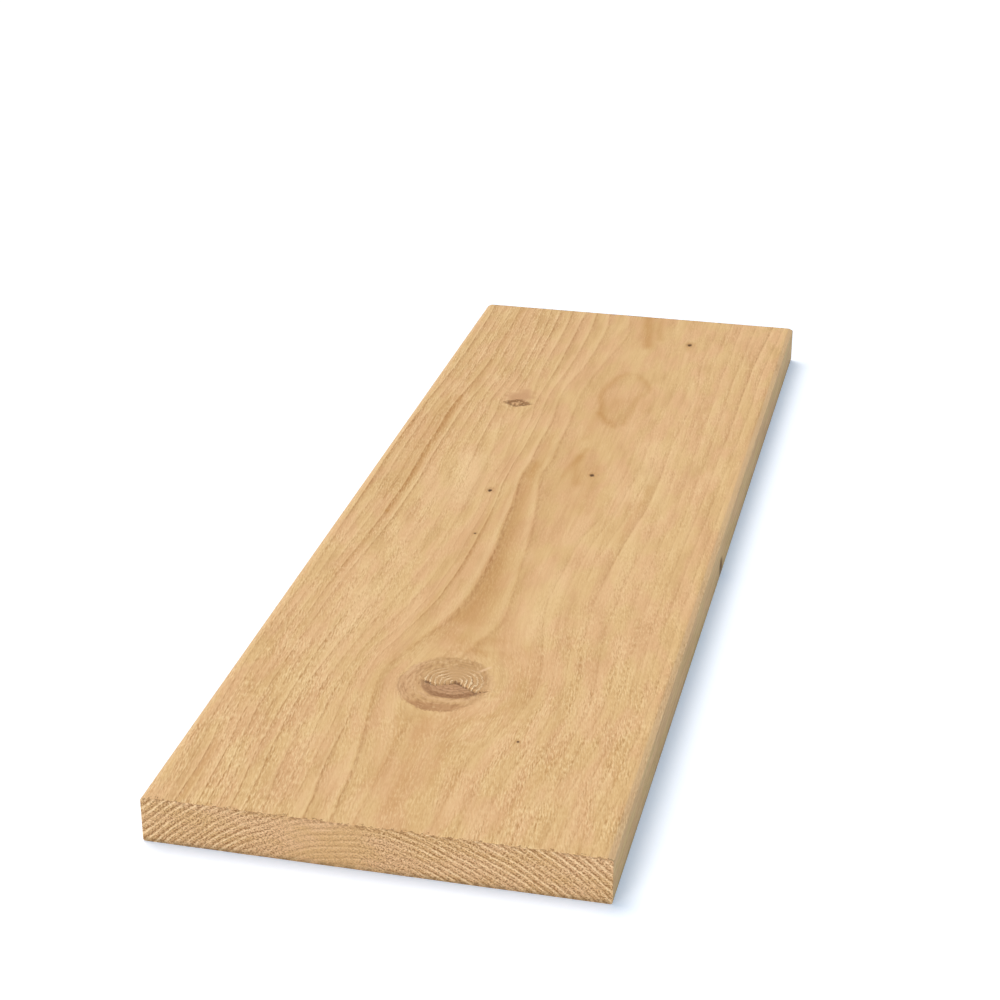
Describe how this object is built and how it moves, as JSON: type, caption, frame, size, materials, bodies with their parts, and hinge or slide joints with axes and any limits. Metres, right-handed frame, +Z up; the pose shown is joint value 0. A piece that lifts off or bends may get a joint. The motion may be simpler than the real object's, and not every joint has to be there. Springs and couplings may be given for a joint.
{
  "type": "timber lumber plank",
  "caption": "Planed softwood board, sawn square at both ends, with softened long edges, a round face knot, pin knots and a knot in one edge.",
  "frame": {"origin": "middle of the back face, on which the board lies", "axes": "+X along the grain from the near sawn end to the far one, +Y across the face to the left edge, +Z up through the thickness, out of the better face"},
  "size_m": [0.6, 0.195, 0.021],
  "materials": {
    "softwood": "bare planed softwood, unfinished, with knots"
  },
  "bodies": {
    "root": {"plank": "softwood"}
  },
  "joints": []
}
